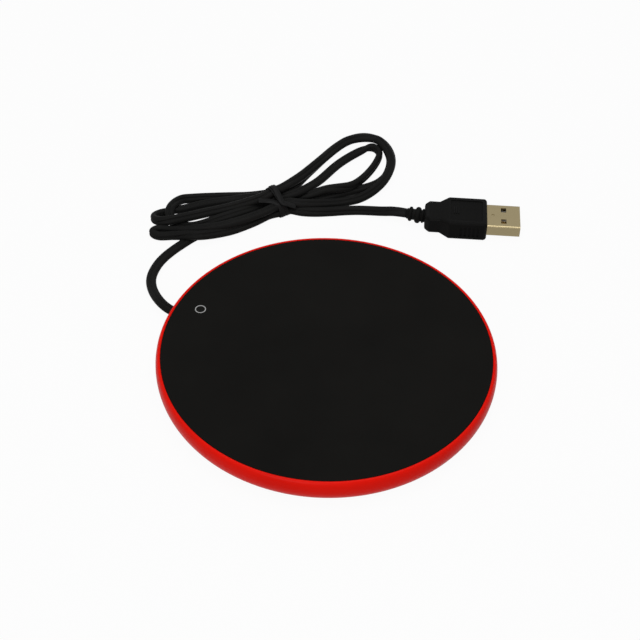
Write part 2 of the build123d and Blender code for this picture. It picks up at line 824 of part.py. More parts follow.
loop_opening = [
    (-0.9, 90.4),
    (3.9, 99.6),
    (8.5, 105.4),
    (12.5, 109.7),
    (14.9, 111.3),
    (15.6, 109.8),
    (15.0, 107.3),
    (13.7, 104.0),
    (11.8, 100.6),
    (9.3, 96.3),
    (6.3, 92.2),
    (2.9, 90.4),
]
with BuildPart() as cord_hank:
    for turns, lobe_height in ((left_turns, left_lobe_height), (right_turns, right_lobe_height)):
        with BuildPart() as lobe:
            with BuildSketch():
                with Locations(*turns):
                    Circle(cord_width / 2)
                make_hull()
            extrude(amount=lobe_height)
            chamfer(lobe.edges().group_by(Axis.Z)[-1], hank_bevel)
        add(lobe.part)
    # the open middle of the right loops
    with BuildSketch():
        with Locations(*loop_opening):
            Circle(loop_corner)
        make_hull()
    extrude(amount=right_lobe_height, mode=Mode.SUBTRACT)
    with BuildSketch(bundle.offset(-waist_length / 2)):
        with Locations(*strand_places):
            SlotOverall(cord_width, cord_thickness)
        make_hull()
    extrude(amount=waist_length)
save(cord_hank, "cord_hank")

with BuildPart() as twist_tie:
    with BuildSketch(bundle.offset(-tie_width / 2)):
        with Locations(*strand_places):
            SlotOverall(cord_width + 2 * tie_thickness, cord_thickness + 2 * tie_thickness)
        make_hull()
    extrude(amount=tie_width)
    with BuildSketch(bundle.offset(-tie_width / 2)):
        with Locations(*strand_places):
            SlotOverall(cord_width, cord_thickness)
        make_hull()
    extrude(amount=tie_width, mode=Mode.SUBTRACT)
    # the two loose ends, lying on the bundle
    top_across, top_height = max(strand_places, key=lambda place: place[1])
    tail_root = bundle.from_local_coords(Vector(top_across, top_height + cord_thickness / 2, 0))
    with BuildSketch(Plane(origin=tail_root, x_dir=bundle.z_dir, z_dir=(0, 0, 1))):
        for length, angle in tie_tails:
            with Locations(Location((0, 0), angle)):
                Rectangle(length, tie_tail_width, align=(Align.MIN, Align.CENTER))
    extrude(amount=tie_thickness)
save(twist_tie, "twist_tie")

# ---- plug ----
plug = Plane(
    origin=(plug_place[0], plug_place[1], grip_height / 2),
    x_dir=(cos(radians(plug_angle)), sin(radians(plug_angle)), 0),
    z_dir=(0, 0, 1),
)
plug_front = Plane(origin=plug.origin, x_dir=plug.y_dir, z_dir=plug.x_dir)
plug_side = Plane(origin=plug.origin, x_dir=plug.x_dir, z_dir=-plug.y_dir)
neck_end = -grip_length
taper_start = neck_end + grip_neck_length
taper_end = taper_start + grip_taper_length


def grip_outline(nose, neck, body):
    """Half of the grip's outline, seen from above or from the side, mirrored about its axis."""
    Polyline(
        (neck_end, 0),
        (neck_end, nose / 2),
        (neck_end + grip_nose_length, neck / 2),
        (taper_start, neck / 2),
        (taper_end, body / 2),
        (0, body / 2),
        (0, 0),
        close=True,
    )


with BuildPart() as plug_grip:
    with BuildSketch(plug):
        with BuildLine():
            grip_outline(grip_nose_width, grip_neck_width, grip_width)
        make_face()
        mirror(about=Plane.XZ)
    extrude(amount=grip_height / 2, both=True)
    with BuildSketch(plug_side):
        with BuildLine():
            grip_outline(grip_nose_height, grip_neck_height, grip_height)
        make_face()
        mirror(about=Plane.XZ)
    extrude(amount=grip_width, both=True, mode=Mode.INTERSECT)
    fillet(plug_grip.edges(), grip_edge)
    with BuildSketch(plug_front.offset(-shell_depth)):
        RectangleRounded(shell_width + 2 * snug_gap, shell_height + 2 * snug_gap, shell_corner)
    extrude(amount=shell_depth + 1, mode=Mode.SUBTRACT)
    # the shallow recess in the top, with its raised lines
    with BuildSketch(plug.offset(grip_height / 2)):
        with Locations((-grip_panel_setback - grip_panel_length / 2, 0)):
            RectangleRounded(grip_panel_length, grip_panel_width, grip_panel_corner)
        with Locations((grip_line_place, 0)):
            with GridLocations(grip_line_pitch, 1, grip_line_count, 1):
                Rectangle(grip_line_width, grip_line_length, mode=Mode.SUBTRACT)
    extrude(amount=-grip_panel_depth, mode=Mode.SUBTRACT)
    # finger ridges in both sides
    for side in (1, -1):
        with BuildSketch(plug_side.offset(side * (grip_width / 2 - grip_ridge_depth))):
            with Locations((grip_ridge_place, 0)):
                with GridLocations(grip_ridge_pitch, 1, grip_ridge_count, 1):
                    Rectangle(grip_ridge_length, grip_ridge_height)
        extrude(amount=side * grip_ridge_depth, mode=Mode.SUBTRACT)
save(plug_grip, "plug_grip")

with BuildPart() as plug_shell:
    with BuildSketch(plug_front.offset(-shell_depth)):
        RectangleRounded(shell_width, shell_height, shell_corner)
        RectangleRounded(
            shell_width - 2 * shell_wall,
            shell_height - 2 * shell_wall,
            shell_corner / 2,
            mode=Mode.SUBTRACT,
        )
    extrude(amount=shell_depth + shell_reach)
    with BuildSketch(plug.offset(-shell_height)):
        with Locations((latch_place, latch_offset), (latch_place, -latch_offset)):
            Rectangle(latch_length, latch_width)
    extrude(amount=2 * shell_height, mode=Mode.SUBTRACT)
    with BuildSketch(plug.offset(shell_height / 2)):
        with Locations((dimple_place, 0)):
            Circle(dimple_dia / 2)
    extrude(amount=-dimple_depth, mode=Mode.SUBTRACT)
save(plug_shell, "plug_shell")

tongue_base = -shell_height / 2 + shell_wall
with BuildPart() as plug_tongue:
    with BuildSketch(plug.offset(tongue_base + snug_gap)):
        with Locations((-shell_depth, 0)):
            tongue_length = shell_depth + shell_reach - tongue_setback
            Rectangle(tongue_length, tongue_width, align=(Align.MIN, Align.CENTER))
    extrude(amount=tongue_thickness)
save(plug_tongue, "plug_tongue")

for number, (place, length) in enumerate(zip(contact_places, contact_lengths), start=1):
    with BuildPart() as contact:
        with BuildSketch(plug.offset(tongue_base + snug_gap + tongue_thickness)):
            with Locations((shell_reach - tongue_setback - contact_setback, place)):
                Rectangle(length, contact_width, align=(Align.MAX, Align.CENTER))
        extrude(amount=contact_thickness)
    save(contact, f"plug_contact_{number}")

# ---- plug strain relief: a ribbed cone that bends away from the grip's neck ----
relief_root = plug.from_local_coords(Vector(neck_end, 0, 0))
relief_heading = radians(plug_angle + 180 - relief_turn)
relief_axis = Vector(cos(relief_heading), sin(relief_heading), 0)
relief_plane = Plane(origin=relief_root, z_dir=relief_axis)
with BuildPart() as plug_relief:
    with BuildSketch(relief_plane.offset(-relief_seat)):
        Circle(relief_root_dia / 2)
    with BuildSketch(relief_plane.offset(relief_length)):
        Circle(relief_tip_dia / 2)
    loft()
    for place, width, diameter in relief_ribs:
        with BuildSketch(relief_plane.offset(place - width / 2)):
            Circle(diameter / 2)
        extrude(amount=width)
    rims = plug_relief.edges().filter_by(GeomType.CIRCLE)
    chamfer(rims.filter_by(lambda rim: rim.radius > relief_root_dia / 2 + relief_rib_edge), relief_rib_edge)
    add(plug_grip.part, mode=Mode.SUBTRACT)
save(plug_relief, "plug_relief")

# ---- free cord ----
cord_exit = entry_point(outer_radius, 0, cord_height)
lying = cord_thickness / 2 + cord_clearance
lead_route = [
    tuple(cord_exit),
    tuple(entry_point(outer_radius + lead_straight, 0, cord_height)),
    (-55.9, 26.6, 3.3),
    (-59.0, 32.5, 2.0),
    (-60.6, 37.6, lying + 0.1),
    (-60.9, 41.7, lying),
    (-59.9, 46.2, lying),
    (-58.1, 50.4, lying),
    (-55.2, 54.6, lying),
    (-51.4, 58.9, lying),
    (-47.7, 62.7, lying),
]
relief_tip = relief_root + relief_axis * relief_length
plug_lead_route = [
    tuple(relief_tip),
    tuple(relief_tip + relief_axis * plug_lead_straight),
    (19.5, 77.8, 2.2),
    (15.2, 78.9, lying + 0.2),
    (10.5, 79.3, lying),
    (5.4, 78.9, lying),
    (0.0, 78.1, lying),
    (-5.4, 77.7, lying),
]
print("lead arcs", [round(r, 1) for r in corner_radii(lead_route)])
print("plug lead arcs", [round(r, 1) for r in corner_radii(plug_lead_route)])
for route, name in ((lead_route, "cord_lead"), (plug_lead_route, "cord_plug_lead")):
    whole = flat_tube(route)
    with BuildPart() as trimmed:
        add(whole.part)
        add(cord_hank.part, mode=Mode.SUBTRACT)
    save(trimmed, name)
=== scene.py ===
"""A flat electric mug warmer with its cord wound in a tied hank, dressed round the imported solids."""

from __future__ import annotations

import logging
import math
from dataclasses import dataclass, field
from enum import Enum
from functools import cache

import bmesh
import bpy
import numpy as np
from mathutils import Euler, Matrix, Vector
from mathutils.geometry import convex_hull_2d

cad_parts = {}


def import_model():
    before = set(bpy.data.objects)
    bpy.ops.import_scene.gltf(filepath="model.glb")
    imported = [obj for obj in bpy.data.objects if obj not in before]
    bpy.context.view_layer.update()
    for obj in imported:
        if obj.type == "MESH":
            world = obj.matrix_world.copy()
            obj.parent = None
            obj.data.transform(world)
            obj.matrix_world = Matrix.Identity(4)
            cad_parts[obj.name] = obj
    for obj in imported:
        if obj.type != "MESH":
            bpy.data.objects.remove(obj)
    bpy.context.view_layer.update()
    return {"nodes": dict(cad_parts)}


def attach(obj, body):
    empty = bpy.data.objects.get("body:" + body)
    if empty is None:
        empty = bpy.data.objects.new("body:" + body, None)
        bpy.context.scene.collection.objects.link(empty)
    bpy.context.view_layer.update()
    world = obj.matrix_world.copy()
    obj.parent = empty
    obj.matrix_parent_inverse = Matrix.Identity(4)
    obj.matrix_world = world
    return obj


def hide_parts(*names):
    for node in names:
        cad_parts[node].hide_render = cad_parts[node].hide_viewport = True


LOG = logging.getLogger("mug_warmer")
MM = 0.001

Point = tuple[float, float, float]
Color = tuple[float, float, float]
Tree = bpy.types.NodeTree
Socket = bpy.types.NodeSocket


# ---------------------------------------------------------------- finishes

SLOW_OCTAVES = 4.0
FINE_OCTAVES = 3.0
NOISE_MIDDLE = (0.3, 0.7)  # most of a noise texture's factor lies between these
WORN_POINTINESS = (0.53, 0.66)  # where an edge's wear begins and where it is full
LEAST_ROUGHNESS = 0.02


def color_mix(tree: Tree, factor: Socket, first: Color | Socket, second: Color) -> Socket:
    """A colour between two.

    Args:
        tree: the node tree of a material or of the world.
        factor: 0 gives the first and 1 gives the second.
        first: a colour, or the socket that gives one.
        second: a colour.

    Returns:
        The colour socket.
    """
    mix = tree.nodes.new("ShaderNodeMix")
    mix.data_type = "RGBA"
    if isinstance(first, tuple):
        mix.inputs["A"].default_value = (*first, 1.0)
    else:
        tree.links.new(first, mix.inputs["A"])
    mix.inputs["B"].default_value = (*second, 1.0)
    tree.links.new(factor, mix.inputs["Factor"])
    return mix.outputs["Result"]


class Detail(Enum):
    """How the fine texture of a finish runs: its scale along x, as a share of its scale across."""

    GRAIN = 1.0
    BRUSHED = 0.06
    FIBRE = 0.25


@dataclass(frozen=True)
class Finish:
    """One material: a colour with slow tone changes, a fine texture and uneven gloss.

    Args:
        name: the material's name.
        color: its colour, in linear values.
        roughness: its mean roughness.
        metallic: 1 for bare metal.
        specular: strength of its plain reflection.
        coat: weight of its clear coat.
        coat_roughness: that coat's roughness.
        tone_scale: slow patches per metre.
        tone_depth: how much lighter or darker a patch is, as a share.
        gloss_depth: how much the roughness varies, as a share.
        grain_scale: fine features per metre.
        grain_height: their height in metres.
        grain_strength: how strongly they show.
        detail: how the fine texture runs.
        edge_wear: how far the sharp edges take the worn colour.
        wear_color: the worn colour.
    """

    name: str
    color: Color
    roughness: float = 0.5
    metallic: float = 0.0
    specular: float = 0.5
    coat: float = 0.0
    coat_roughness: float = 0.2
    tone_scale: float = 45.0
    tone_depth: float = 0.12
    gloss_depth: float = 0.12
    grain_scale: float = 2600.0
    grain_height: float = 0.00002
    grain_strength: float = 0.35
    detail: Detail = Detail.GRAIN
    edge_wear: float = 0.0
    wear_color: Color = (0.3, 0.3, 0.3)

    def _coordinates(self, tree: Tree) -> Socket:
        """Object coordinates, stretched along one way for brushed and fibrous finishes.

        Args:
            tree: the material's node tree.

        Returns:
            The socket that textures read their place from.
        """
        place = tree.nodes.new("ShaderNodeTexCoord")
        if self.detail is Detail.GRAIN:
            return place.outputs["Object"]
        mapping = tree.nodes.new("ShaderNodeMapping")
        mapping.inputs["Scale"].default_value = (self.detail.value, 1.0, 1.0)
        tree.links.new(place.outputs["Object"], mapping.inputs["Vector"])
        return mapping.outputs["Vector"]

    def _noise(self, tree: Tree, place: Socket, scale: float, octaves: float) -> Socket:
        """A noise texture's factor.

        Args:
            tree: the material's node tree.
            place: the coordinates to read.
            scale: features per metre.
            octaves: how many finer layers it adds.

        Returns:
            The factor socket.
        """
        noise = tree.nodes.new("ShaderNodeTexNoise")
        noise.inputs["Scale"].default_value = scale
        noise.inputs["Detail"].default_value = octaves
        tree.links.new(place, noise.inputs["Vector"])
        return noise.outputs["Fac"]

    def _range(self, tree: Tree, value: Socket, low: float, high: float) -> Socket:
        """Maps the middle of a noise to a range.

        Args:
            tree: the material's node tree.
            value: the noise's factor.
            low: result at the lower end of the noise's middle.
            high: result at its upper end.

        Returns:
            The mapped socket.
        """
        mapped = tree.nodes.new("ShaderNodeMapRange")
        mapped.inputs["From Min"].default_value = NOISE_MIDDLE[0]
        mapped.inputs["From Max"].default_value = NOISE_MIDDLE[1]
        mapped.inputs["To Min"].default_value = low
        mapped.inputs["To Max"].default_value = high
        tree.links.new(value, mapped.inputs["Value"])
        return mapped.outputs["Result"]

    def _worn(self, tree: Tree, color: Socket) -> Socket:
        """Lightens the sharp outer edges, where handling polishes them.

        Args:
            tree: the material's node tree.
            color: the colour away from the edges.

        Returns:
            The colour with its worn edges.
        """
        geometry = tree.nodes.new("ShaderNodeNewGeometry")
        edge = tree.nodes.new("ShaderNodeMapRange")
        edge.inputs["From Min"].default_value = WORN_POINTINESS[0]
        edge.inputs["From Max"].default_value = WORN_POINTINESS[1]
        edge.inputs["To Max"].default_value = self.edge_wear
        tree.links.new(geometry.outputs["Pointiness"], edge.inputs["Value"])
        return color_mix(tree, edge.outputs["Result"], color, self.wear_color)

    @cache
    def build(self) -> bpy.types.Material:
        """Makes the material once and returns it each time it is asked for."""
        material = bpy.data.materials.new(self.name)
        material.use_nodes = True
        tree = material.node_tree
        shader = tree.nodes["Principled BSDF"]
        shader.inputs["Metallic"].default_value = self.metallic
        shader.inputs["Specular IOR Level"].default_value = self.specular
        shader.inputs["Coat Weight"].default_value = self.coat
        shader.inputs["Coat Roughness"].default_value = self.coat_roughness
        place = self._coordinates(tree)
        slow = self._noise(tree, place, self.tone_scale, SLOW_OCTAVES)
        fine = self._noise(tree, place, self.grain_scale, FINE_OCTAVES)
        dark = tuple(c * (1 - self.tone_depth) for c in self.color)
        light = tuple(min(1.0, c * (1 + self.tone_depth)) for c in self.color)
        color = color_mix(tree, self._range(tree, slow, 0.0, 1.0), dark, light)
        if self.edge_wear > 0:
            color = self._worn(tree, color)
        tree.links.new(color, shader.inputs["Base Color"])
        low = max(LEAST_ROUGHNESS, self.roughness * (1 - self.gloss_depth))
        high = min(1.0, self.roughness * (1 + self.gloss_depth))
        tree.links.new(self._range(tree, slow, low, high), shader.inputs["Roughness"])
        bump = tree.nodes.new("ShaderNodeBump")
        bump.inputs["Strength"].default_value = self.grain_strength
        bump.inputs["Distance"].default_value = self.grain_height
        tree.links.new(fine, bump.inputs["Height"])
        tree.links.new(bump.outputs["Normal"], shader.inputs["Normal"])
        return material


RED_RIM = Finish(
    "red_moulded_rim", (0.59, 0.006, 0.002), roughness=0.34, specular=0.04, tone_depth=0.05,
    grain_strength=0.2,
)
BLACK_PANEL = Finish(
    "black_panel_coating", (0.0052, 0.0050, 0.0045), roughness=0.62, specular=0.02, tone_depth=0.2,
    grain_scale=5200.0, grain_height=0.00001, grain_strength=0.3,
)
KEY_BLACK = Finish(
    "matt_black_key", (0.0052, 0.0050, 0.0045), roughness=0.55, specular=0.02, grain_scale=6000.0,
)
PALE_LIGHT_RING = Finish(
    "pale_light_ring", (0.25, 0.25, 0.245), roughness=0.35, coat=0.2, grain_scale=7000.0,
)
CORD_JACKET = Finish(
    "black_cord_jacket", (0.0078, 0.0078, 0.0075), roughness=0.42, specular=0.02, tone_depth=0.3,
    grain_scale=3800.0, grain_height=0.00003, grain_strength=0.35,
)
PLUG_BLACK = Finish(
    "black_plug_moulding", (0.0042, 0.0042, 0.0040), roughness=0.5, specular=0.025, tone_depth=0.18,
    grain_scale=4200.0, grain_height=0.00003, grain_strength=0.45, edge_wear=0.25,
    wear_color=(0.02, 0.02, 0.02),
)
TIE_BLACK = Finish(
    "black_tie_strip", (0.0065, 0.0065, 0.0065), roughness=0.42, specular=0.05, grain_scale=5000.0,
)
PLATED_SHELL = Finish(
    "plated_plug_shell", (0.29, 0.24, 0.137), roughness=0.28, metallic=1.0, tone_depth=0.06,
    grain_scale=5200.0, grain_height=0.000006, grain_strength=0.25, detail=Detail.BRUSHED,
)
WHITE_TONGUE = Finish("white_plug_tongue", (0.72, 0.71, 0.68), roughness=0.45, grain_scale=5200.0)
GOLD_CONTACT = Finish(
    "gold_contacts", (0.90, 0.62, 0.24), roughness=0.22, metallic=1.0, detail=Detail.BRUSHED,
)
COVER_BLACK = Finish(
    "black_base_cover", (0.018, 0.018, 0.018), roughness=0.66, grain_scale=2400.0, grain_height=0.00006,
    grain_strength=0.7, tone_depth=0.15,
)
FOOT_RUBBER = Finish("foot_rubber", (0.03, 0.03, 0.031), roughness=0.85, specular=0.25, grain_scale=3000.0)
SCREW_STEEL = Finish(
    "zinc_screw_steel", (0.50, 0.50, 0.51), roughness=0.34, metallic=1.0, grain_scale=6000.0,
)
SPREADER = Finish(
    "aluminium_sheet", (0.80, 0.81, 0.83), roughness=0.35, metallic=1.0, detail=Detail.BRUSHED,
)
COPPER = Finish("etched_copper", (0.85, 0.43, 0.24), roughness=0.3, metallic=1.0, grain_scale=6000.0)
FILM = Finish("amber_film", (0.52, 0.22, 0.035), roughness=0.25, coat=0.4, grain_scale=3000.0)
FELT = Finish(
    "white_felt", (0.72, 0.71, 0.67), roughness=0.95, specular=0.1, grain_scale=1400.0, grain_height=0.0003,
    grain_strength=0.8, detail=Detail.FIBRE,
)
ADHESIVE = Finish("black_adhesive_film", (0.02, 0.02, 0.02), roughness=0.7, grain_scale=2000.0)
BOARD = Finish("green_board", (0.010, 0.13, 0.045), roughness=0.3, coat=0.3, grain_scale=4000.0)
COMPONENT = Finish("black_component", (0.02, 0.02, 0.021), roughness=0.55, grain_scale=6000.0)
CAN = Finish("tinned_can", (0.62, 0.63, 0.65), roughness=0.3, metallic=1.0, detail=Detail.BRUSHED)
CLEAR_LAMP = Finish("clear_lamp", (0.86, 0.85, 0.74), roughness=0.15, coat=0.5, grain_scale=5000.0)
PLUNGER = Finish("white_plunger", (0.78, 0.78, 0.76), roughness=0.45, grain_scale=6000.0)
WIRE_RED = Finish("red_wire_jacket", (0.55, 0.02, 0.012), roughness=0.4, grain_scale=5000.0)
WIRE_BLACK = Finish("black_wire_jacket", (0.014, 0.014, 0.014), roughness=0.4, grain_scale=5000.0)
WIRE_WHITE = Finish("white_wire_jacket", (0.78, 0.78, 0.75), roughness=0.4, grain_scale=5000.0)

FEET = [f"foot_{number}" for number in (1, 2, 3, 4)]
PLUG_CONTACTS = [f"plug_contact_{number}" for number in (1, 2, 3, 4)]
NODE_FINISHES: dict[str, Finish] = {
    "rim_shell": RED_RIM,
    "top_panel": BLACK_PANEL,
    "key_cap": KEY_BLACK,
    "key_light_ring": PALE_LIGHT_RING,
    "cord_grommet": FOOT_RUBBER,
    "cord_tail": CORD_JACKET,
    "bottom_cover": COVER_BLACK,
    **dict.fromkeys(FEET, FOOT_RUBBER),
    "cover_screws": SCREW_STEEL,
    "board_screws": SCREW_STEEL,
    "panel_adhesive": ADHESIVE,
    "heat_spreader": SPREADER,
    "heater_track": COPPER,
    "heating_film": FILM,
    "insulation_pad": FELT,
    "temperature_sensor": COMPONENT,
    "thermal_fuse": CAN,
    "circuit_board": BOARD,
    "controller_chip": COMPONENT,
    "power_transistor": COMPONENT,
    "filter_capacitor": CAN,
    "key_lamp": CLEAR_LAMP,
    "key_switch": COMPONENT,
    "key_dome": SCREW_STEEL,
    "key_plunger": PLUNGER,
    "supply_wire_positive": WIRE_RED,
    "supply_wire_negative": WIRE_BLACK,
    "heater_wire_direct": WIRE_BLACK,
    "heater_wire_fused": WIRE_RED,
    "sensor_wire_1": WIRE_WHITE,
    "sensor_wire_2": WIRE_WHITE,
    "plug_grip": PLUG_BLACK,
    "plug_shell": PLATED_SHELL,
    "plug_tongue": WHITE_TONGUE,
    **dict.fromkeys(PLUG_CONTACTS, GOLD_CONTACT),
}


def paint(piece: bpy.types.Object, finish: Finish) -> None:
    """Gives a piece one finish all over."""
    piece.data.materials.clear()
    piece.data.materials.append(finish.build())


# ---------------------------------------------------------------- meshes

SPLINE_ORDER = 3
SPLINE_STEPS = 6  # between two control points


def spline_points(points: np.ndarray) -> np.ndarray:
    """Points along the smooth spline that a row of points controls.

    Args:
        points: the spline's control points, in millimetres.

    Returns:
        Points along it, in millimetres.
    """
    curve = bpy.data.curves.new("route", "CURVE")
    curve.dimensions = "3D"
    curve.resolution_u = SPLINE_STEPS
    spline = curve.splines.new("NURBS")
    spline.points.add(len(points) - 1)
    for target, place in zip(spline.points, points):
        target.co = (*place, 1.0)
    spline.order_u = SPLINE_ORDER
    spline.use_endpoint_u = True
    route = bpy.data.objects.new("route", curve)
    line = bpy.data.meshes.new_from_object(route)
    places = np.array([tuple(corner.co) for corner in line.vertices])
    bpy.data.objects.remove(route)
    bpy.data.curves.remove(curve)
    bpy.data.meshes.remove(line)
    return places


def swept_piece(
    name: str, path: np.ndarray, facing: np.ndarray, section: list[tuple[float, float]]
) -> bpy.types.Object:
    """A closed, smooth piece: one section carried along a path.

    Args:
        name: the piece's name.
        path: points along its middle, in millimetres.
        facing: for each point, roughly which way its broad side faces.
        section: the closed outline, across it and out of its broad side, in millimetres.

    Returns:
        The object.
    """
    ahead = np.gradient(path, axis=0)
    ahead /= np.linalg.norm(ahead, axis=1)[:, None]
    across = np.cross(ahead, facing)
    across /= np.linalg.norm(across, axis=1)[:, None]
    outward = np.cross(across, ahead)
    rings = [path + u * across + v * outward for u, v in section]
    points = np.stack(rings, axis=1).reshape(-1, 3) * MM
    count = len(section)
    faces: list[tuple[int, ...]] = [
        tuple(range(count)),
        tuple(range(len(points) - count, len(points))),
    ]
    for ring in range(len(path) - 1):
        for k in range(count):
            near = ring * count + k
            far = ring * count + (k + 1) % count
            faces.append((near, far, far + count, near + count))
    mesh = bpy.data.meshes.new(name)
    mesh.from_pydata([tuple(point) for point in points], [], faces)
    shell = bmesh.new()
    shell.from_mesh(mesh)
    bmesh.ops.recalc_face_normals(shell, faces=shell.faces)
    shell.to_mesh(mesh)
    shell.free()
    mesh.shade_smooth()
    piece = bpy.data.objects.new(name, mesh)
    bpy.context.scene.collection.objects.link(piece)
    return piece


# ---------------------------------------------------------------- cord

ON_EDGE = 90.0
NEAR_WEIGHT = 9  # of the two nearest points in the four-point rule, where the two beyond have -1


@dataclass
class Loop:
    """One loop of the hank, from the tie and back to it.

    Args:
        name: which loop it is.
        gates: places that steer the cord round the loop, in millimetres.
        fold: how many gates come before the loop's fold, and how many by its end.
        leans: the cord's lean on the way out, in the fold and on the way back, in degrees to its right.
    """

    name: str
    gates: tuple[Point, ...]
    fold: tuple[int, int]
    leans: tuple[float, float, float] = (0.0, ON_EDGE, 0.0)

    def turn(self, leave: Vector, enter: Vector) -> list[tuple[Vector, float]]:
        """Winds the loop's turn: its gates, with a point between each two that keeps the bend smooth.

        Args:
            leave: where the cord comes out of the tie.
            enter: where it goes back in.

        Returns:
            The cord's control points between the two, each with its lean in degrees: 0 lies flat.
        """
        stops = [leave, *(Vector(gate) for gate in self.gates), enter]
        begin, end = self.fold
        outward, folded, back = self.leans
        leans = [0.0] + [outward] * begin + [folded] * (end - begin)
        leans += [back] * (len(self.gates) - end) + [0.0]
        ahead = 2 * stops[0] - stops[1]
        beyond = 2 * stops[-1] - stops[-2]
        padded = [ahead, *stops, beyond]
        wound = []
        for i in range(len(stops) - 1):
            before, here, there, past = padded[i : i + 4]
            midway = (NEAR_WEIGHT * (here + there) - before - past) / (2 * NEAR_WEIGHT - 2)
            # the smooth bend mustn't dip below both the gates that it joins
            midway.z = max(midway.z, min(here.z, there.z))
            wound.append((here, leans[i]))
            wound.append((midway, (leans[i] + leans[i + 1]) / 2))
        LOG.info("loop %s passes %d gates", self.name, len(self.gates))
        return wound[1:]


@dataclass
class Bundle:
    """The hank's waist, where the tie holds the cord's passes side by side.

    Args:
        middle: centre of the tie, seen from above.
        angle: direction of the passes, in degrees.
        half_length: half of each pass's straight run through the tie.
        slots: each pass's place across the bundle and its height, in winding order.
    """

    middle: tuple[float, float] = (-17.8, 81.1)
    angle: float = 30.0
    half_length: float = 1.8
    slots: tuple[tuple[float, float], ...] = (
        (-0.8, 1.6), (4.4, 4.2), (2.7, 1.6), (0.5, 4.3), (2.1, 6.9), (-2.6, 4.2), (-4.2, 1.6),
    )

    def place(self, along: float, across: float, height: float) -> Vector:
        """A point in the bundle's own directions, as a point of the object."""
        turn = math.radians(self.angle)
        x = self.middle[0] + along * math.cos(turn) - across * math.sin(turn)
        y = self.middle[1] + along * math.sin(turn) + across * math.cos(turn)
        return Vector((x, y, height))

    def ends(self, number: int) -> list[Vector]:
        """Both ends of one pass, in the order in which the cord takes them.

        Args:
            number: the pass, counted from 0; every second one runs to the left.

        Returns:
            Where the cord enters and leaves the tie.
        """
        across, height = self.slots[number]
        left = self.place(-self.half_length, across, height)
        right = self.place(self.half_length, across, height)
        return [left, right] if number % 2 == 0 else [right, left]


